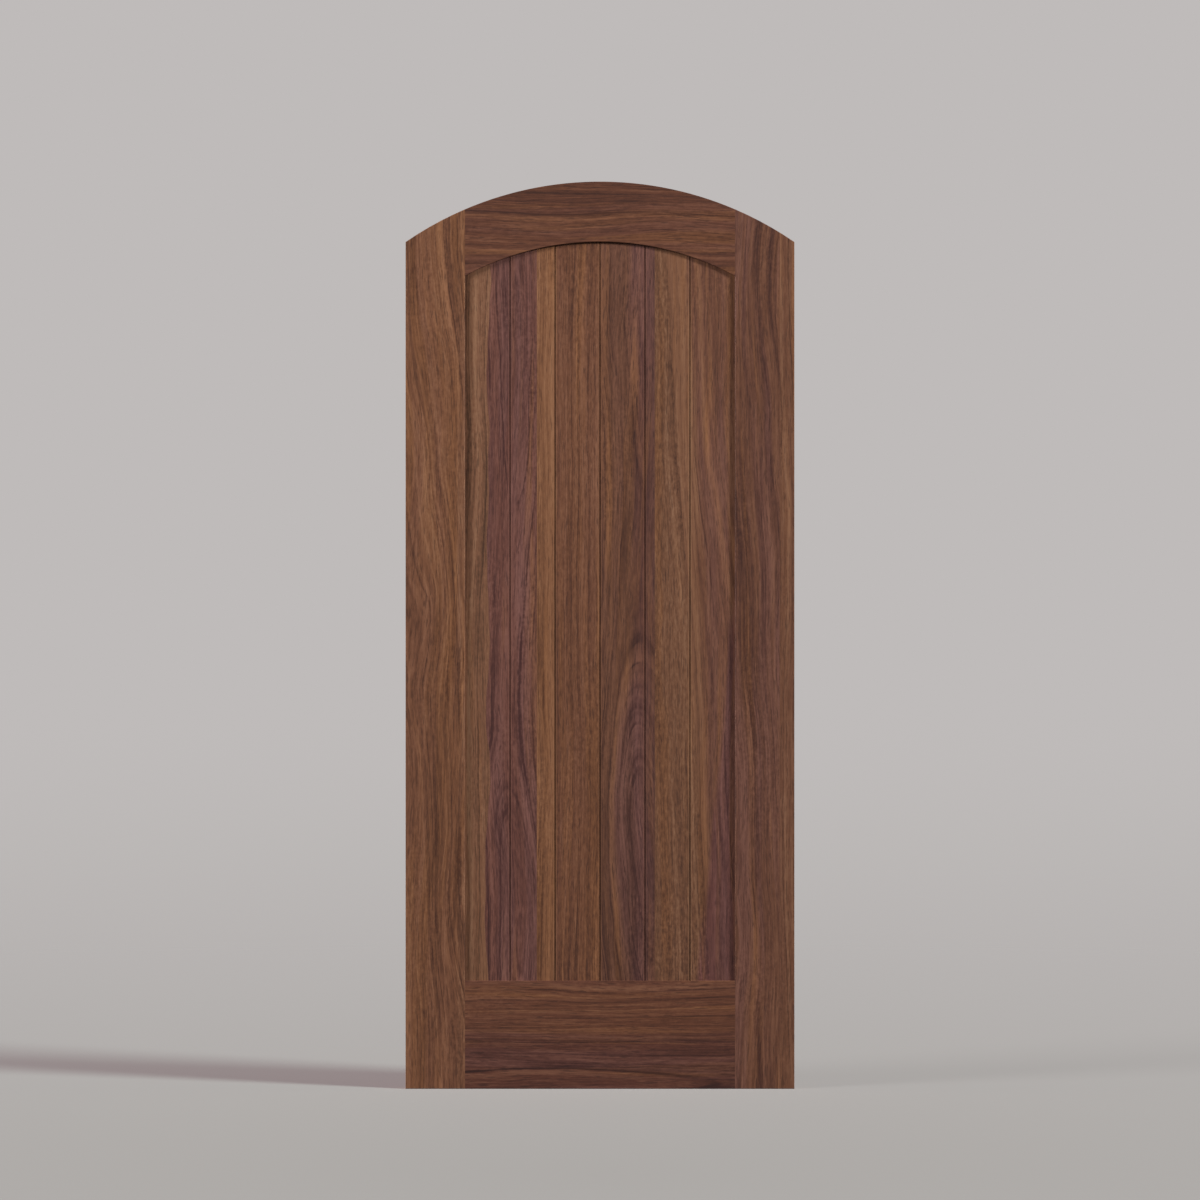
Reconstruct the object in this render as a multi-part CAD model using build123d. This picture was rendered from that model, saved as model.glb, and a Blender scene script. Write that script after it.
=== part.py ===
"""Arched plank door leaf: two stiles, an arched top rail, a deep bottom rail and a panel of tongued planks.

Millimetres. The origin is the middle of the leaf's bottom edge, +Z is up, the front face looks along -Y
and +X is the right-hand edge as seen from the front. Front and back faces are alike.
"""

import os
from math import sqrt

from build123d import *

INCH = 25.4

# Leaf, outside sizes
LEAF_WIDTH = 36 * INCH
LEAF_HEIGHT = 84 * INCH
LEAF_THICKNESS = 1.75 * INCH
ARCH_RISE = 142.0  # from the outer corner of a stile up to the crown

# Frame members, widths seen on the face
STILE_WIDTH = 5.5 * INCH
CROWN_DEPTH = 141.5  # top rail, measured at the crown
BOTTOM_RAIL_DEPTH = 10 * INCH
ARRIS = 1.0  # small flat on every exposed edge of the frame

# Planks of the panel
PLANK_COUNT = 6
PLANK_THICKNESS = 1.25 * INCH
VEE_LEG = 1.3  # bevel on each plank edge, seen on the face; two of them make the steep V joint
VEE_DEPTH = 4.0  # how far the bevel runs back from the face
PLANK_GAP = 0.5  # between the shoulders of two planks
TONGUE_THICKNESS = 8.0
TONGUE_LENGTH = 8.0
TONGUE_PLAY = 0.15

# Housing of the planks in the frame
HOUSING_DEPTH = 0.5 * INCH
HOUSING_PLAY = 0.1  # on each face of a plank
SIDE_ROOM = 0.8  # beside the outer planks, for movement of the wood
TOP_ROOM = 0.8  # above the planks, under the arch

# Mortise and tenon joints between rails and stiles
TENON_THICKNESS = 0.625 * INCH
TENON_LENGTH = 60.0
TENON_PLAY = 0.1  # around a tenon
TENON_END_ROOM = 0.8  # in the bottom of a mortise
TENON_SETBACK = 18.0  # wood left between a tenon and the edge of its rail
FOOT_TENON_HEIGHT = 76.0  # each of the two tenons of the bottom rail

half_leaf = LEAF_WIDTH / 2
half_opening = half_leaf - STILE_WIDTH
arch_radius = (half_leaf**2 + ARCH_RISE**2) / (2 * ARCH_RISE)
arch_centre = LEAF_HEIGHT - arch_radius
inner_radius = arch_radius - CROWN_DEPTH
housed_radius = inner_radius + HOUSING_DEPTH
panel_foot = BOTTOM_RAIL_DEPTH - HOUSING_DEPTH


def arch_height(radius, x):
    """Height of the arc of this radius at a distance x from the middle of the leaf."""
    return arch_centre + sqrt(radius**2 - x**2)


def arched_slab(half_width, foot, radius, thickness):
    """Upright slab with a flat foot, straight sides and a head cut to an arc about the arch centre."""
    spring = arch_height(radius, half_width)
    sides = Polyline((-half_width, spring), (-half_width, foot), (half_width, foot), (half_width, spring))
    head = ThreePointArc((half_width, spring), (0, arch_centre + radius), (-half_width, spring))
    return extrude(Plane.XZ * make_face(sides + head), thickness / 2, both=True)


def block(x_from, x_to, thickness, z_from, z_to):
    """Rectangular block between two x and two z values, centred on the leaf's middle plane."""
    middle = Pos((x_from + x_to) / 2, 0, (z_from + z_to) / 2)
    return middle * Box(x_to - x_from, thickness, z_to - z_from)


# Whole frame in one piece: outline, opening, eased edges, then the groove that houses the planks
frame = arched_slab(half_leaf, 0, arch_radius, LEAF_THICKNESS)
frame -= arched_slab(half_opening, BOTTOM_RAIL_DEPTH, inner_radius, 2 * LEAF_THICKNESS)
frame = chamfer(frame.faces().filter_by(Axis.Y).edges(), ARRIS)
frame -= arched_slab(
    half_opening + HOUSING_DEPTH, panel_foot, housed_radius, PLANK_THICKNESS + 2 * HOUSING_PLAY
)

# Frame parted at the rail shoulders
above = LEAF_HEIGHT + LEAF_THICKNESS
left_stile = frame & block(-half_leaf - STILE_WIDTH, -half_opening, 2 * LEAF_THICKNESS, -above, above)
right_stile = frame & block(half_opening, half_leaf + STILE_WIDTH, 2 * LEAF_THICKNESS, -above, above)
rails = frame & block(-half_opening, half_opening, 2 * LEAF_THICKNESS, -above, above)
bottom_rail, top_rail = rails.solids().sort_by(Axis.Z)

# Heights of the tenons: two on the deep bottom rail, one at each end of the arched rail
foot_tenons = [
    (TENON_SETBACK, TENON_SETBACK + FOOT_TENON_HEIGHT),
    (panel_foot - TENON_SETBACK - FOOT_TENON_HEIGHT, panel_foot - TENON_SETBACK),
]
head_tenons = [
    (
        arch_height(housed_radius, half_opening) + TENON_SETBACK,
        arch_height(arch_radius, half_opening + TENON_LENGTH) - TENON_SETBACK,
    )
]


def tenon(side, low, high):
    """Tenon standing out of a rail shoulder into the stile on that side."""
    near = half_opening - TENON_LENGTH / 4
    far = half_opening + TENON_LENGTH
    return block(*sorted((side * near, side * far)), TENON_THICKNESS, low, high)


def mortise(side, low, high):
    """Pocket in the stile on that side for a tenon between two heights."""
    near = half_opening - TENON_LENGTH / 4
    far = half_opening + TENON_LENGTH + TENON_END_ROOM
    width = TENON_THICKNESS + 2 * TENON_PLAY
    return block(*sorted((side * near, side * far)), width, low - TENON_PLAY, high + TENON_PLAY)


for low, high in foot_tenons:
    bottom_rail = bottom_rail + tenon(-1, low, high) + tenon(1, low, high)
for low, high in head_tenons:
    top_rail = top_rail + tenon(-1, low, high) + tenon(1, low, high)
for low, high in foot_tenons + head_tenons:
    left_stile = left_stile - mortise(-1, low, high)
    right_stile = right_stile - mortise(1, low, high)

# Planks: one profile each, tongue to the right, groove to the left, plain edges in the stiles
half_panel = half_opening + HOUSING_DEPTH - SIDE_ROOM
panel = arched_slab(half_panel, panel_foot, housed_radius - TOP_ROOM, PLANK_THICKNESS)
pitch = 2 * half_opening / PLANK_COUNT
face = PLANK_THICKNESS / 2
cheek = TONGUE_THICKNESS / 2


def right_edge(index):
    """Points of a plank's right edge, from the front face to the back face."""
    if index == PLANK_COUNT - 1:
        return [(half_panel, -face), (half_panel, face)]
    x = -half_opening + (index + 1) * pitch - PLANK_GAP / 2
    front = [(x - VEE_LEG, -face), (x, -face + VEE_DEPTH), (x, -cheek), (x + TONGUE_LENGTH, -cheek)]
    return front + [(px, -py) for px, py in reversed(front)]


def left_edge(index):
    """Points of a plank's left edge, from the back face to the front face."""
    if index == 0:
        return [(-half_panel, face), (-half_panel, -face)]
    x = -half_opening + index * pitch + PLANK_GAP / 2
    slot = cheek + TONGUE_PLAY
    back = [(x + VEE_LEG, face), (x, face - VEE_DEPTH), (x, slot), (x + TONGUE_LENGTH, slot)]
    return back + [(px, -py) for px, py in reversed(back)]


def plank(index):
    """Plank between two pitch lines, its head cut to the arc inside the top rail's groove."""
    profile = make_face(Polyline(*right_edge(index), *left_edge(index), close=True))
    return Pos(0, 0, panel_foot) * extrude(profile, LEAF_HEIGHT) & panel


parts = {
    "left_stile": left_stile,
    "right_stile": right_stile,
    "arched_top_rail": top_rail,
    "bottom_rail": bottom_rail,
}
for index in range(PLANK_COUNT):
    parts[f"plank_{index + 1}"] = plank(index)

os.makedirs("parts", exist_ok=True)
for name, shape in parts.items():
    export_step(shape.solid(), f"parts/{name}.step")
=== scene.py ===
"""Dressing of an arched plank door leaf in oiled walnut: boards, light, floor and camera."""

from math import cos, pi, radians, sin, tan
from types import SimpleNamespace

import bpy
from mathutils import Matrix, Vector


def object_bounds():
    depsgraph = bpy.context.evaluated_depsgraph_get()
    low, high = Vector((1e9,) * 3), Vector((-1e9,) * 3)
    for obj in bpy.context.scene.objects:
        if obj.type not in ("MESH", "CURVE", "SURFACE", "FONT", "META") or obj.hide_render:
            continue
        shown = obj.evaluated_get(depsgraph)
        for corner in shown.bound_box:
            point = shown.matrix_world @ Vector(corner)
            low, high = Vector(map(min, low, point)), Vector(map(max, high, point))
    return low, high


bl_info = {
    "name": "Arched walnut door",
    "version": (1, 0, 0),
    "blender": (4, 5, 0),
    "location": "View3D > Sidebar > Door",
    "description": "Walnut boards, light and camera for an arched plank door leaf",
    "category": "Object",
}

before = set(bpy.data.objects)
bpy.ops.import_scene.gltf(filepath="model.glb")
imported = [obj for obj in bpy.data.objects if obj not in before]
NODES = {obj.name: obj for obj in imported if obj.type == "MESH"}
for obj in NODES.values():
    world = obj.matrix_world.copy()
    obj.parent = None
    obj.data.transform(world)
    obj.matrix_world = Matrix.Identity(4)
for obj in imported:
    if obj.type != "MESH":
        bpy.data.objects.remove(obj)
CAD_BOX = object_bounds()
STILES = ("left_stile", "right_stile")
RAILS = ("arched_top_rail", "bottom_rail")
PLANKS = tuple(sorted(name for name in NODES if name.startswith("plank_")))
LEAF_FOOT = CAD_BOX[0][2]
LEAF_FRONT = CAD_BOX[0][1]
LEAF_MIDDLE = (CAD_BOX[0][2] + CAD_BOX[1][2]) / 2


def tint(red, green, blue):
    """Linear colour from the 0 to 255 values of a paint chart."""
    shares = [value / 255 for value in (red, green, blue)]
    return tuple(((c + 0.055) / 1.055) ** 2.4 if c > 0.04 else c / 12.92 for c in shares)


# ---------------------------------------------------------------- shader arithmetic


class Shade:
    """A shader socket that takes part in plain arithmetic; each operator adds a Math node."""

    def __init__(self, tree, socket=None):
        self.tree = tree
        self.socket = socket

    def node(self, kind, settings=None, inputs=None, output=0):
        """Any other node: its settings first, then the values or links of its sockets."""
        made = self.tree.nodes.new(kind)
        for key, value in (settings or {}).items():
            setattr(made, key, value)
        for key, value in (inputs or {}).items():
            if isinstance(value, Shade):
                self.tree.links.new(value.socket, made.inputs[key])
            else:
                made.inputs[key].default_value = value
        return Shade(self.tree, made.outputs[output]) if made.outputs else None

    def math(self, operation, *others):
        """Math node on this value and others."""
        return self.node("ShaderNodeMath", {"operation": operation}, dict(enumerate((self, *others))))

    def __add__(self, other):
        return self.math("ADD", other)

    __radd__ = __add__

    def __sub__(self, other):
        return self.math("SUBTRACT", other)

    def __rsub__(self, other):
        return (self * -1.0) + other

    def __mul__(self, other):
        return self.math("MULTIPLY", other)

    __rmul__ = __mul__

    def __truediv__(self, other):
        return self.math("DIVIDE", other)

    def __rtruediv__(self, other):
        return self.math("POWER", -1.0) * other

    def above(self, level):
        """1 where this value passes the level, else 0."""
        return self.math("GREATER_THAN", level)

    def ease(self, low, high):
        """0 below low, 1 above high and a soft step between."""
        settings = {"interpolation_type": "SMOOTHSTEP", "clamp": True}
        return self.node("ShaderNodeMapRange", settings, {"Value": self, "From Min": low, "From Max": high})

    def held(self):
        """Kept between 0 and 1."""
        return self.node("ShaderNodeClamp", None, {"Value": self})


def fresh(owner):
    """Empty node tree of a material or a world, as the start of its arithmetic."""
    owner.use_nodes = True
    owner.node_tree.nodes.clear()
    return Shade(owner.node_tree)


def vector(x, y, z):
    """Vector socket from three values."""
    return x.node("ShaderNodeCombineXYZ", None, {0: x, 1: y, 2: z})


def blend(amount, first, second):
    """Colour between two colours, by an amount."""
    first, second = [c if isinstance(c, Shade) else (*c, 1.0) for c in (first, second)]
    settings = {"data_type": "RGBA", "clamp_factor": True}
    return amount.node("ShaderNodeMix", settings, {0: amount, 6: first, 7: second}, 2)


def noise(place, detail=2.0, rough=0.5, output=0):
    """Cloudy noise at a vector, about 0.5 on average."""
    inputs = {"Vector": place, "Scale": 1.0, "Detail": detail, "Roughness": rough}
    return place.node("ShaderNodeTexNoise", {"noise_dimensions": "3D"}, inputs, output)


def line_noise(place, turns, detail, rough):
    """Noise along one value, with so many turns per metre, about 0.5 on average."""
    inputs = {"W": place, "Scale": turns, "Detail": detail, "Roughness": rough}
    return place.node("ShaderNodeTexNoise", {"noise_dimensions": "1D"}, inputs)


def swing(cloud):
    """Noise spread to about -1 to 1."""
    return (cloud - 0.5) * 5.0


# ---------------------------------------------------------------- boards


def log(heart, behind, shift, lean=0.0, bow=0.0, crest=1.2, wander=0.03):
    """How a log ran in its board.

    heart and behind place its heart across and behind the face and shift picks its growth; lean tips the heart
    line sideways, bow brings it nearer the face away from the height of crest, and wander bends the grain.
    """
    return dict(heart=heart, behind=behind, shift=shift, lean=lean, bow=bow, crest=crest, wander=wander)


def board(start, pale, body, deep, run, **others):
    """One board of a blank: where it starts across the grain, its three tones and how its log ran.

    soft blurs the edge, slant leans it and roam lets it wander; mauve is the share of purple heartwood, and
    flame the purple near the heart; fade pales the board towards its head; contrast, line, curl and dash set
    the strength of the whole figure, the season lines, the ripples and the short flecks; ripe is the share of
    the years that leave a line where the log would not show one.
    """
    usual = dict(
        soft=0.0, slant=0.0, roam=0.0, mauve=0.1, flame=0.0, fade=0.0,
        contrast=1.0, line=0.7, ripe=0.0, curl=0.16, dash=0.22,
    )
    unknown = set(others) - set(usual)
    if unknown:
        raise ValueError(f"unknown board values {sorted(unknown)}")
    return {**usual, **run, **others, "start": start, "pale": pale, "body": body, "deep": deep}


FIRST = -9.0  # start of a blank's first board, far outside the leaf
CRISP = 0.0002  # least blur of a board's edge
GLUED = 0.0004  # blur of a plain glue line
GRAIN_DATUM = 1.0  # place along the grain from which boards lean and fade
JOINT_PITCH = 0.10583  # between the V joints of the planks

LEFT_STILE_LOG = log(-0.56, 0.10, 3.1, lean=-0.07, wander=0.09)
MAUVE_LOG = log(-0.203, 0.045, 5.3, lean=-0.010, bow=0.100, crest=1.05, wander=0.046)
GOLD_LOG = log(-0.30, 0.06, 14.9, wander=0.024)
FLAME_LOG = log(0.118, 0.055, 21.45, bow=0.110, crest=1.28, wander=0.046)
FLECKED_LOG = log(0.00, 0.08, 26.3, lean=-0.060)
OUTER_LOG = log(0.00, 0.08, 26.3, lean=-0.090)
FOOT_RAIL_LOG = log(0.05, 0.05, 33.7, lean=0.040, wander=0.050)

# Boards from the left, or from the foot in the rails
STILE_BOARDS = [
    board(FIRST, (136, 95, 68), (107, 69, 46), (60, 35, 24), LEFT_STILE_LOG, mauve=0.22, fade=0.05),
    board(
        -0.3350, (136, 98, 73), (109, 72, 51), (66, 40, 28), LEFT_STILE_LOG,
        soft=0.002, fade=0.10, contrast=1.2,
    ),
    board(
        0.0, (114, 77, 58), (89, 56, 41), (54, 31, 24), log(0.22, 0.10, 8.7, lean=-0.040, wander=0.06),
        mauve=0.45, contrast=1.1, line=0.3,
    ),
    board(
        0.4226, (124, 88, 66), (98, 63, 45), (62, 38, 27), log(0.60, 0.08, 11.3, lean=-0.010, wander=0.020),
        soft=GLUED, contrast=0.9,
    ),
]
PLANK_BOARDS = [
    board(
        FIRST, (141, 104, 78), (115, 78, 56), (64, 42, 29), log(-0.43, 0.07, 1.7, lean=0.010, wander=0.040),
        contrast=0.88,
    ),
    board(
        -0.2635, (122, 82, 71), (94, 58, 49), (54, 30, 28), MAUVE_LOG,
        soft=0.001, roam=0.010, mauve=0.75, fade=0.12, contrast=1.1, line=1.1, ripe=0.5,
    ),
    board(
        -0.1487, (144, 103, 74), (119, 79, 54), (74, 45, 30), GOLD_LOG,
        soft=GLUED, mauve=0.0, contrast=0.95,
    ),
    board(
        -0.1040, (126, 86, 63), (97, 61, 42), (58, 34, 25), GOLD_LOG,
        soft=0.006, mauve=0.12, contrast=0.95, line=0.45, dash=0.34,
    ),
    board(
        0.0, (115, 77, 57), (85, 54, 39), (50, 29, 23), FLAME_LOG,
        soft=GLUED, mauve=0.16, flame=0.46, fade=0.42, line=0.95, ripe=0.3,
    ),
    board(
        0.0780, (112, 73, 58), (81, 50, 41), (46, 26, 24), FLAME_LOG,
        soft=0.016, mauve=0.36, flame=0.46, fade=0.18, line=0.95, ripe=0.3,
    ),
    board(
        0.1058, (102, 67, 54), (73, 45, 38), (42, 24, 22), FLAME_LOG,
        soft=GLUED, mauve=0.45, flame=0.20, fade=0.36, line=0.95, ripe=0.3,
    ),
    board(
        0.1288, (132, 96, 72), (102, 68, 48), (60, 37, 27), FLECKED_LOG,
        soft=GLUED, mauve=0.05, fade=0.10, contrast=0.76, line=0.3, curl=0.30, dash=0.48,
    ),
    board(
        0.2145, (140, 103, 77), (115, 78, 56), (70, 43, 31), FLECKED_LOG,
        soft=0.0012, slant=0.060, mauve=0.05, fade=0.10, contrast=0.7, dash=0.14,
    ),
    board(
        0.2400, (126, 87, 64), (97, 62, 45), (58, 35, 27), OUTER_LOG,
        soft=0.012, slant=0.030, mauve=0.45, contrast=0.92,
    ),
    board(
        0.3030, (121, 80, 71), (92, 56, 50), (55, 31, 29), OUTER_LOG,
        soft=0.008, slant=-0.100, roam=0.006, mauve=0.80, contrast=0.92,
    ),
]
RAIL_BOARDS = [
    board(FIRST, (107, 70, 54), (77, 44, 34), (44, 24, 20), FOOT_RAIL_LOG, mauve=0.35, line=1.1),
    board(
        0.125, (121, 82, 59), (90, 54, 38), (52, 29, 21), FOOT_RAIL_LOG,
        soft=0.012, mauve=0.15, contrast=0.9, line=0.9,
    ),
    board(
        1.0, (116, 77, 58), (88, 53, 38), (52, 30, 23), log(1.80, 0.08, 41.9, lean=-0.030, wander=0.040),
        mauve=0.15, line=0.8,
    ),
]
# Pin knots: place across and along the grain, reach across and along, push on the grain, dark of the core
STILE_KNOTS = [(0.414, 1.49, 0.020, 0.075, 0.010, 0.30)]
PLANK_KNOTS = [(-0.158, 1.640, 0.022, 0.070, 0.012, 0.45), (0.160, 1.700, 0.014, 0.022, 0.006, 0.55)]

# ---------------------------------------------------------------- figure of the walnut

# Noises drawn out along the grain: turns per metre across and along, detail, roughness
FIGURE = {
    "slow": (4.0, 1.2, 1.5, 0.45),
    "ripple": (14.0, 4.5, 2.0, 0.5),
    "band_patch": (11.0, 2.4, 1.0, 0.5),
    "line_patch": (14.0, 2.8, 2.0, 0.5),
    "streaks": (72.0, 1.6, 3.0, 0.6),
    "fibres": (250.0, 7.5, 3.0, 0.75),
    "curl": (150.0, 130.0, 1.0, 0.5),
    "curl_patch": (9.0, 3.0, 1.0, 0.5),
    "fleck": (200.0, 55.0, 2.0, 0.7),
    "glow": (16.0, 1.1, 2.0, 0.5),
    "honey": (38.0, 1.3, 2.0, 0.5),
    "plum": (30.0, 1.1, 2.0, 0.5),
    "pores": (420.0, 30.0, 1.0, 0.5),
}
# Where a noise begins to show and where it shows in full
GATES = {
    "band_patch": (0.36, 0.62),
    "line_patch": (0.32, 0.54),
    "curl_patch": (0.46, 0.64),
    "honey": (0.50, 0.66),
    "plum": (0.40, 0.62),
    "pores": (0.58, 0.70),
}
# Share of each part in the tone of the wood; bands and rings have one more share in their patches
SHARES = {"bands": 0.14, "rings": 0.08, "streaks": 0.20, "fibres": 0.44, "broad": 0.14, "glow": 0.24}
PATCH_SHARES = {"bands": 0.30, "rings": 0.14}

# Noises that move the edges of boards: turns per metre across and along, reach
EDGE_DRIFT = (20.0, 3.0, 3.0)
EDGE_STRAY = (3.0, 3.6, 5.0)
RIPPLE_REACH = 0.012
KNOT_CORE = 6.0  # power that draws the dark core of a knot in from its reach
HONEY_SIDE, PLUM_SIDE = 0.31, 0.73  # where these two noises are read, so that they differ

# Bands and rings: detail and roughness of their noise; bands are weaker near the heart
BAND_NOISE = (2.0, 0.5)
RING_NOISE = (2.0, 0.6)
BAND_CALM = (0.0, 0.035)
BAND_LEAST = 0.35

# Season lines: a sharp start and a long fall in each year, in some years only and not at the heart itself
YEAR_NOISE = (1.0, 0.5)
YEAR_STRAY_TURNS, YEAR_STRAY = 35.0, 0.6
YEAR_START = (0.0, 0.12)
YEAR_FALL = 4.0
YEAR_STRENGTH = 1.7
YEAR_PICK_SHIFT, YEAR_PICK_TURNS = 5.2, 60.0
YEAR_PICK = (0.48, 0.68)
LINE_CALM = (0.004, 0.024)

# Purple heartwood: how far it reaches from the heart, and how plum noise, bands and an even share mix in it
FLAME_REACH = (0.058, 0.078)
PLUM_SHARE, PLUM_BANDS, PLUM_EVEN = 0.8, -0.20, 0.12
MAUVE_DEEP = tint(62, 35, 33)
MAUVE_TONE = 0.75
HONEY_DEEP = tint(74, 42, 24)
HONEY_TONE = 0.6

# Painted highlight on the plank edges beside the V joints: fade away from the joint, and the bevel that stays
# dark
EDGE_HIGHLIGHT_FADE = (0.0030, 0.0044)
BEVEL = 0.0017
OUTER_JOINT = 2.5  # pitches from the middle; the outermost joint stands at two

# Satin oil
BUMP_STRENGTH, BUMP_DISTANCE = 0.18, 0.0006
BUMP_FIBRES, BUMP_RINGS, BUMP_PORES = 0.25, 0.12, 0.9
ROUGH_FIBRES, ROUGH_PORES, ROUGH_PALE = 0.03, 0.10, 0.04
SATIN_SPECULAR = 0.2


class Blank:
    """Boards glued side by side: places in the wood, and values that change from board to board."""

    def __init__(self, start, boards, upright):
        place = start.node("ShaderNodeTexCoord", output="Object")
        x, y, z = [start.node("ShaderNodeSeparateXYZ", None, {0: place}, i) for i in range(3)]
        self.boards = boards
        self.depth = y
        self.across, self.along = (x, z) if upright else (z, x)
        self.level = self.along - GRAIN_DATUM
        moves = {"slant": self.level, "roam": self._move(*EDGE_STRAY), "soft": self._move(*EDGE_DRIFT)}
        self.steps = [self._step(here, moves) for here in boards[1:]]
        self.run = self.along + self.number("shift")

    def _move(self, wide, long, reach):
        """Noise that moves an edge."""
        place = vector(self.across * wide, self.depth * wide, self.along * long)
        return (noise(place) - 0.5) * reach

    def _step(self, here, moves):
        """0 before a board and 1 from its edge on."""
        edge = self.across
        for key, move in moves.items():
            if here[key]:
                edge = edge + move * here[key]
        soft = max(here["soft"], CRISP)
        return edge.ease(here["start"] - soft, here["start"] + soft)

    def number(self, key):
        """Value that changes from board to board."""
        total = self.boards[0][key]
        changes = None
        for step, here, before in zip(self.steps, self.boards[1:], self.boards):
            change = here[key] - before[key]
            if change:
                changes = step * change if changes is None else changes + step * change
        return total if changes is None else changes + total

    def colour(self, key):
        """Colour that changes from board to board."""
        shown = tint(*self.boards[0][key])
        for step, here in zip(self.steps, self.boards[1:]):
            shown = blend(step, shown, tint(*here[key]))
        return shown

    def cloud(self, kind, bend=None, output=0):
        """A noise of the figure, bent sideways where a bend is given."""
        wide, long, detail, rough = FIGURE[kind]
        side = self.across if bend is None else self.across + bend
        return noise(vector(side * wide, self.depth * wide, self.run * long), detail, rough, output)

    def patches(self, kind, bend=None):
        """A noise of the figure where it shows, 0 to 1."""
        return self.cloud(kind, bend).ease(*GATES[kind])


def growth(blank, knots):
    """Where a place lies in its log: bend of the grain, distances from the heart, and dark cores of knots."""
    slow = blank.cloud("slow", output="Color")
    bend, swell, broad = [slow.node("ShaderNodeSeparateColor", None, {0: slow}, i) for i in range(3)]
    wander = blank.number("wander")
    ripple = blank.cloud("ripple") - 0.5
    sway = (bend - 0.5) * wander * 2.0 + ripple * RIPPLE_REACH
    swell = (swell - 0.5) * wander * 2.0
    side = blank.across - blank.number("heart") - blank.level * blank.number("lean") + sway
    rise = blank.along - blank.number("crest")
    back = blank.depth - blank.number("behind") + rise * rise * blank.number("bow") + swell
    core = 0.0
    for knot_across, knot_along, wide, long, push, dark in knots:
        off, away = (blank.across - knot_across) / wide, (blank.along - knot_along) / long
        reach = ((off * off + away * away) * -1.0).math("EXPONENT")
        side = side + reach * push
        core = core + reach.math("POWER", KNOT_CORE) * dark
    radius = (side * side + back * back).math("SQRT")
    return SimpleNamespace(
        sway=sway, broad=swing(broad), aside=side.math("ABSOLUTE"), radius=radius,
        ring=radius + blank.number("shift"), core=core,
    )


def season_lines(blank, grown, turns):
    """Dark lines of the years that show."""
    stray = swing(line_noise(grown.ring, YEAR_STRAY_TURNS, *YEAR_NOISE)) * YEAR_STRAY
    year = (grown.ring * turns + stray).math("FRACT")
    lines = year.ease(*YEAR_START) * (1.0 - year).math("POWER", YEAR_FALL) * YEAR_STRENGTH
    shown = line_noise(grown.ring + YEAR_PICK_SHIFT, YEAR_PICK_TURNS, *YEAR_NOISE).ease(*YEAR_PICK)
    shown = shown + (1.0 - shown) * blank.number("ripe")
    return lines * shown * blank.patches("line_patch") * grown.aside.ease(*LINE_CALM)


def walnut(name, boards, upright, settings, knots=(), joint_pitch=None):
    """Solid walnut for a set of boards: growth rings about each log's heart, streaks, pores and satin oil.

    Beside joints at a given pitch the edges get a painted highlight, a little paler than the board.
    """
    material = bpy.data.materials.new(name)
    start = fresh(material)
    blank = Blank(start, boards, upright)
    grown = growth(blank, knots)
    sway = grown.sway

    near_heart = grown.aside.ease(*BAND_CALM) * (1.0 - BAND_LEAST) + BAND_LEAST
    bands = swing(line_noise(grown.ring, settings.band_turns, *BAND_NOISE)) * near_heart
    rings = swing(line_noise(grown.ring, settings.ring_turns, *RING_NOISE))
    lines = season_lines(blank, grown, settings.line_turns)
    streaks = swing(blank.cloud("streaks", sway))
    fibres = swing(blank.cloud("fibres", sway))
    curl = swing(blank.cloud("curl")) * blank.patches("curl_patch")
    fleck = swing(blank.cloud("fleck"))
    glow = swing(blank.cloud("glow", sway))
    honey = blank.patches("honey", sway + HONEY_SIDE)
    plum = blank.patches("plum", sway + PLUM_SIDE)
    pores = blank.patches("pores", sway)

    patch = blank.patches("band_patch")
    tone = bands * (patch * PATCH_SHARES["bands"] + SHARES["bands"])
    tone = tone + rings * (patch * PATCH_SHARES["rings"] + SHARES["rings"])
    tone = tone + streaks * SHARES["streaks"] + fibres * SHARES["fibres"]
    tone = tone + fleck * blank.number("dash") + curl * blank.number("curl")
    tone = tone + grown.broad * SHARES["broad"] + glow * SHARES["glow"]
    tone = tone * blank.number("contrast") + blank.level * blank.number("fade")
    lift = tone.held()
    sink = (tone * -1.0 + lines * blank.number("line") + grown.core).held()

    deep = blank.colour("deep")
    pale = blank.colour("pale")
    wood = blend(lift, blank.colour("body"), pale)
    wood = blend(sink, wood, deep)
    gold = blend((lift - sink) * HONEY_TONE + 0.5, HONEY_DEEP, settings.honey)
    wood = blend(honey * settings.honey_share, wood, gold)
    purple = blend((lift - sink) * MAUVE_TONE + 0.5, MAUVE_DEEP, settings.mauve)
    flame = (1.0 - grown.radius.ease(*FLAME_REACH)) * blank.number("flame")
    blush = (plum * PLUM_SHARE + bands * PLUM_BANDS + PLUM_EVEN).held() * blank.number("mauve")
    wood = blend((blush + flame).held(), wood, purple)
    wood = blend(pores * settings.pore_depth, wood, deep)
    if joint_pitch:
        beside = ((blank.across / joint_pitch + 0.5).math("FRACT") - 0.5).math("ABSOLUTE") * joint_pitch
        inside = 1.0 - blank.across.math("ABSOLUTE").above(joint_pitch * OUTER_JOINT)
        # Painted highlight: a pale band beside each plank joint stands in for light catching the joint edges
        painted_edge_highlight = (1.0 - beside.ease(*EDGE_HIGHLIGHT_FADE)) * beside.above(BEVEL) * inside * settings.painted_edge_highlight
        wood = blend(painted_edge_highlight, wood, pale)

    height = fibres * BUMP_FIBRES + rings * BUMP_RINGS - pores * BUMP_PORES
    relief = {"Strength": BUMP_STRENGTH, "Distance": BUMP_DISTANCE, "Height": height}
    finish = {
        "Base Color": wood,
        "Roughness": settings.roughness + fibres * ROUGH_FIBRES + pores * ROUGH_PORES - lift * ROUGH_PALE,
        "Normal": start.node("ShaderNodeBump", None, relief),
        "Specular IOR Level": SATIN_SPECULAR,
    }
    shader = start.node("ShaderNodeBsdfPrincipled", None, finish)
    start.node("ShaderNodeOutputMaterial", None, {"Surface": shader})
    return material


def dress(names, material):
    """Gives a material to CAD nodes."""
    for name in names:
        piece = NODES[name]
        piece.data.materials.clear()
        piece.data.materials.append(material)


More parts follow.
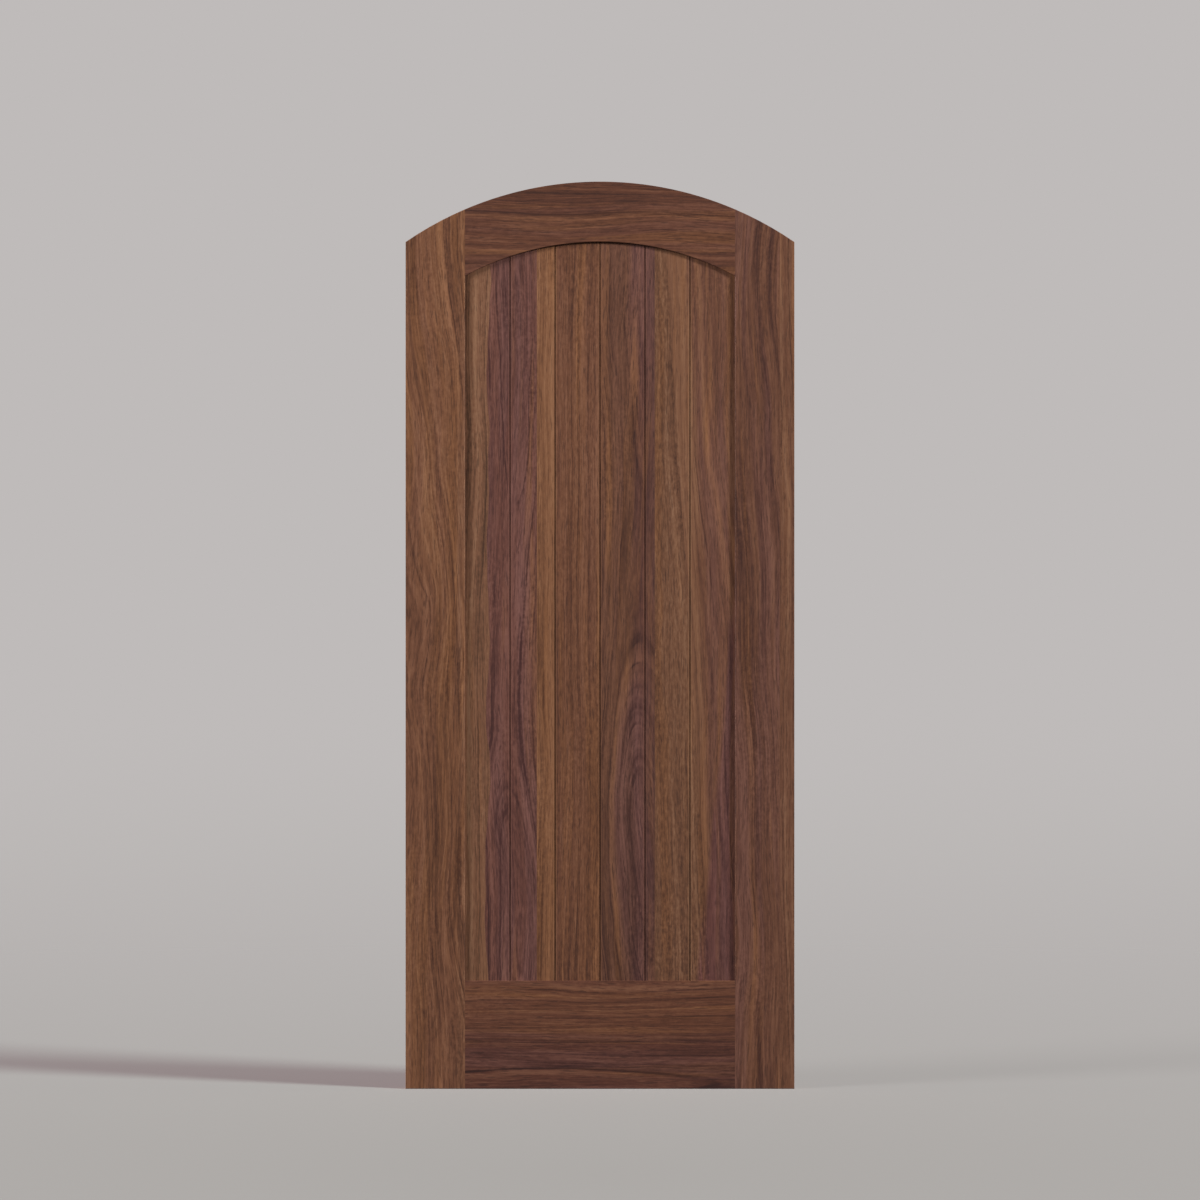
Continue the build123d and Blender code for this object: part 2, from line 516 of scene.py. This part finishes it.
# ---------------------------------------------------------------- settings


class DoorWood(bpy.types.PropertyGroup):
    """Sizes and colours of the walnut."""

    band_turns: bpy.props.FloatProperty(
        name="Band turns", description="Broad colour bands per metre of growth", default=66.0, min=1.0
    )
    ring_turns: bpy.props.FloatProperty(
        name="Ring turns", description="Growth ring lines per metre", default=240.0, min=1.0
    )
    line_turns: bpy.props.FloatProperty(
        name="Line turns", description="Dark season lines per metre of growth", default=105.0, min=1.0
    )
    pore_depth: bpy.props.FloatProperty(
        name="Pore depth", description="How dark the pores are", default=0.55, min=0.0, max=1.0,
        subtype="FACTOR",
    )
    roughness: bpy.props.FloatProperty(
        name="Roughness", description="Roughness of the oiled surface", default=0.56, min=0.0, max=1.0,
        subtype="FACTOR",
    )
    # Strength of the painted highlight, a pale band beside each plank joint that stands in for light on the
    # edges
    painted_edge_highlight: bpy.props.FloatProperty(
        name="Painted edge highlight", description="How pale the plank edges are beside the joints", default=0.38,
        min=0.0, max=1.0, subtype="FACTOR",
    )
    honey: bpy.props.FloatVectorProperty(
        name="Honey", description="Colour of the golden streaks", default=tint(146, 98, 63), min=0.0,
        max=1.0, subtype="COLOR",
    )
    honey_share: bpy.props.FloatProperty(
        name="Honey share", description="Strength of the golden streaks", default=0.45, min=0.0, max=1.0,
        subtype="FACTOR",
    )
    mauve: bpy.props.FloatVectorProperty(
        name="Mauve", description="Colour of the purple heartwood", default=tint(116, 79, 73), min=0.0,
        max=1.0, subtype="COLOR",
    )


class DoorStage(bpy.types.PropertyGroup):
    """Light, floor and camera."""

    backdrop: bpy.props.FloatVectorProperty(
        name="Backdrop", description="Colour behind the door", default=tint(191, 187, 186), min=0.0, max=1.0,
        subtype="COLOR",
    )
    floor: bpy.props.FloatVectorProperty(
        name="Floor", description="Colour of the floor", default=(0.415, 0.395, 0.380), min=0.0, max=1.0,
        subtype="COLOR",
    )
    camera_distance: bpy.props.FloatProperty(
        name="Camera distance", description="From the lens to the front face", default=12.0, min=1.0,
        unit="LENGTH",
    )
    picture_width: bpy.props.FloatProperty(
        name="Picture width", description="Width of the picture at the front face", default=2.82186, min=0.1,
        unit="LENGTH",
    )
    picture_middle: bpy.props.FloatProperty(
        name="Picture middle", description="Height of the picture's middle", default=1.1496, unit="LENGTH"
    )
    ambient: bpy.props.FloatProperty(
        name="Ambient", description="Level of the light from all round", default=0.048, min=0.0
    )


# ---------------------------------------------------------------- pieces


class DOOR_OT_stiles(bpy.types.Operator):
    """Dress the two stiles in walnut with upright grain"""

    bl_idname = "door.stiles"
    bl_label = "Stiles"

    def execute(self, context):
        dress(STILES, walnut("walnut_stile", STILE_BOARDS, True, context.scene.door_wood, STILE_KNOTS))
        return {"FINISHED"}


class DOOR_OT_rails(bpy.types.Operator):
    """Dress the arched top rail and the bottom rail in walnut with level grain"""

    bl_idname = "door.rails"
    bl_label = "Rails"

    def execute(self, context):
        dress(RAILS, walnut("walnut_rail", RAIL_BOARDS, False, context.scene.door_wood))
        return {"FINISHED"}


class DOOR_OT_planks(bpy.types.Operator):
    """Dress the planks in walnut ripped from glued-up boards"""

    bl_idname = "door.planks"
    bl_label = "Planks"

    def execute(self, context):
        wood = context.scene.door_wood
        dress(PLANKS, walnut("walnut_plank", PLANK_BOARDS, True, wood, PLANK_KNOTS, JOINT_PITCH))
        return {"FINISHED"}


# ---------------------------------------------------------------- stage

FLOOR_RADIUS = 60.0
FLOOR_CORNERS = 96
FADE_START = (0.0, -1.8, 0.0)  # where the floor has its full colour
FADE_LENGTH = 8.6  # over which the floor loses most of it to the backdrop
LAMP_DISTANCE = 13.0  # from the middle of the leaf
SENSOR_WIDTH = 36.0  # of the camera, in millimetres
VIEW_LIMIT = 200.0

# Lamps of the upright leaf: degrees round from the front and up, share of full light, degrees of softness
LEAF_LAMPS = {
    "key_light": (66.5, 23.0, 0.54, 11.0),
    "fill_light": (-71.0, 23.0, 0.465, 18.0),
    "back_light": (138.0, 28.0, 0.50, 24.0),
    "back_fill_light": (-130.0, 24.0, 0.36, 36.0),
}
# Lamps of the floor: the same, then the colour, and whether the leaf shades the floor from it
FLOOR_LAMPS = {
    "floor_key_light": (64.0, 25.5, 0.530, 13.0, (0.87, 1.08, 1.03), True),
    "floor_fill_light": (-62.0, 25.5, 0.12, 22.0, (1.0, 1.0, 1.0), True),
    "floor_top_light": (0.0, 85.0, 0.300, 3.0, (1.23, 0.873, 0.956), False),
}


def towards_lamp(azimuth, elevation):
    """Direction from the leaf to a lamp."""
    turn, rise = radians(azimuth), radians(elevation)
    return Vector((sin(turn) * cos(rise), -cos(turn) * cos(rise), sin(rise)))


def hang(data, towards, lit, shaded_by=None):
    """Puts a lamp in its place to light one collection, shaded by another or else by everything."""
    made = bpy.data.objects.new(data.name, data)
    made.rotation_euler = towards.to_track_quat("Z", "Y").to_euler()
    made.location = Vector((0.0, 0.0, LEAF_MIDDLE)) + towards * LAMP_DISTANCE
    made.visible_camera = False
    made.light_linking.receiver_collection = lit
    made.light_linking.blocker_collection = shaded_by
    bpy.context.scene.collection.objects.link(made)


def leaf_lamp(name, lit, azimuth, elevation, level, softness):
    """Round soft lamp; level is the share of full light that it puts on the upright faces."""
    towards = towards_lamp(azimuth, elevation)
    data = bpy.data.lights.new(name, "AREA")
    data.shape = "DISK"
    data.size = 2 * LAMP_DISTANCE * tan(radians(softness / 2))
    data.energy = level * (pi * LAMP_DISTANCE) ** 2 / abs(towards.y)
    hang(data, towards, lit)


def floor_lamp(name, lit, azimuth, elevation, level, softness, colour, shaded):
    """Lamp from far off; level is the share of full light that it puts on the floor."""
    towards = towards_lamp(azimuth, elevation)
    data = bpy.data.lights.new(name, "SUN")
    data.color = colour
    data.angle = radians(softness)
    data.energy = level * pi / towards.z
    hang(data, towards, lit, None if shaded else lit)


def gather(name, pieces):
    """Collection of pieces for the lamps."""
    made = bpy.data.collections.new(name)
    for piece in pieces:
        made.objects.link(piece)
    return made


class DOOR_OT_stage(bpy.types.Operator):
    """Set the floor, the light and the camera"""

    bl_idname = "door.stage"
    bl_label = "Stage"

    def execute(self, context):
        stage = context.scene.door_stage
        ground = gather("ground", [self.floor(stage)])
        leaf = gather("leaf", NODES.values())
        self.world(context.scene, stage)
        for name, values in LEAF_LAMPS.items():
            leaf_lamp(name, leaf, *values)
        for name, values in FLOOR_LAMPS.items():
            floor_lamp(name, ground, *values)
        self.camera(context.scene, stage)
        context.scene.view_settings.view_transform = "Standard"
        return {"FINISHED"}

    def floor(self, stage):
        """Round floor whose rim melts into the backdrop."""
        bpy.ops.mesh.primitive_circle_add(
            vertices=FLOOR_CORNERS, radius=FLOOR_RADIUS, fill_type="NGON", location=(0, 0, LEAF_FOOT)
        )
        disc = bpy.context.active_object
        disc.name = "floor"
        material = bpy.data.materials.new("pale_floor")
        start = fresh(material)
        place = start.node("ShaderNodeTexCoord", output="Object")
        ends = {0: place, 1: FADE_START}
        reach = start.node("ShaderNodeVectorMath", {"operation": "DISTANCE"}, ends, "Value")
        fade = 1.0 - (reach / -FADE_LENGTH).math("EXPONENT")
        matt = start.node("ShaderNodeBsdfDiffuse", None, {"Color": (*stage.floor, 1.0)})
        clear = start.node("ShaderNodeBsdfTransparent")
        shader = start.node("ShaderNodeMixShader", None, {0: fade, 1: matt, 2: clear})
        start.node("ShaderNodeOutputMaterial", None, {"Surface": shader})
        disc.data.materials.append(material)
        disc.visible_diffuse = False
        return disc

    def world(self, scene, stage):
        """Even grey surround that shows as the backdrop."""
        world = bpy.data.worlds.new("studio")
        start = fresh(world)
        rays = ("Is Camera Ray", "Is Glossy Ray", "Is Transmission Ray")
        seen, glossy, through = [start.node("ShaderNodeLightPath", output=ray) for ray in rays]
        shown = (seen + glossy + through).held()
        lights = (((1.0, 1.0, 1.0), stage.ambient), (stage.backdrop, 1.0))
        soft, backdrop = [
            start.node("ShaderNodeBackground", None, {"Color": (*colour, 1.0), "Strength": strength})
            for colour, strength in lights
        ]
        shader = start.node("ShaderNodeMixShader", None, {0: shown, 1: soft, 2: backdrop})
        start.node("ShaderNodeOutputWorld", None, {"Surface": shader})
        scene.world = world

    def camera(self, scene, stage):
        """Long level lens square on to the front face."""
        data = bpy.data.cameras.new("camera")
        data.sensor_width = SENSOR_WIDTH
        data.lens = SENSOR_WIDTH * stage.camera_distance / stage.picture_width
        data.clip_end = VIEW_LIMIT
        made = bpy.data.objects.new("camera", data)
        made.location = (0.0, LEAF_FRONT - stage.camera_distance, LEAF_FOOT + stage.picture_middle)
        made.rotation_euler = (radians(90.0), 0.0, 0.0)
        scene.collection.objects.link(made)
        scene.camera = made


class DOOR_PT_panel(bpy.types.Panel):
    """Sidebar panel with the door's steps"""

    bl_idname = "DOOR_PT_panel"
    bl_label = "Arched door"
    bl_space_type = "VIEW_3D"
    bl_region_type = "UI"
    bl_category = "Door"

    def draw(self, context):
        for step in STEPS:
            self.layout.operator(step.bl_idname)
        for group in (context.scene.door_wood, context.scene.door_stage):
            for key in group.__annotations__:
                self.layout.prop(group, key)


STEPS = (DOOR_OT_stiles, DOOR_OT_rails, DOOR_OT_planks, DOOR_OT_stage)
CLASSES = (DoorWood, DoorStage, *STEPS, DOOR_PT_panel)


def register():
    for cls in CLASSES:
        bpy.utils.register_class(cls)
    bpy.types.Scene.door_wood = bpy.props.PointerProperty(type=DoorWood)
    bpy.types.Scene.door_stage = bpy.props.PointerProperty(type=DoorStage)


def unregister():
    del bpy.types.Scene.door_wood
    del bpy.types.Scene.door_stage
    for cls in reversed(CLASSES):
        bpy.utils.unregister_class(cls)


def main():
    register()
    bpy.ops.door.stiles()
    bpy.ops.door.rails()
    bpy.ops.door.planks()
    bpy.ops.door.stage()


if __name__ == "__main__":
    main()
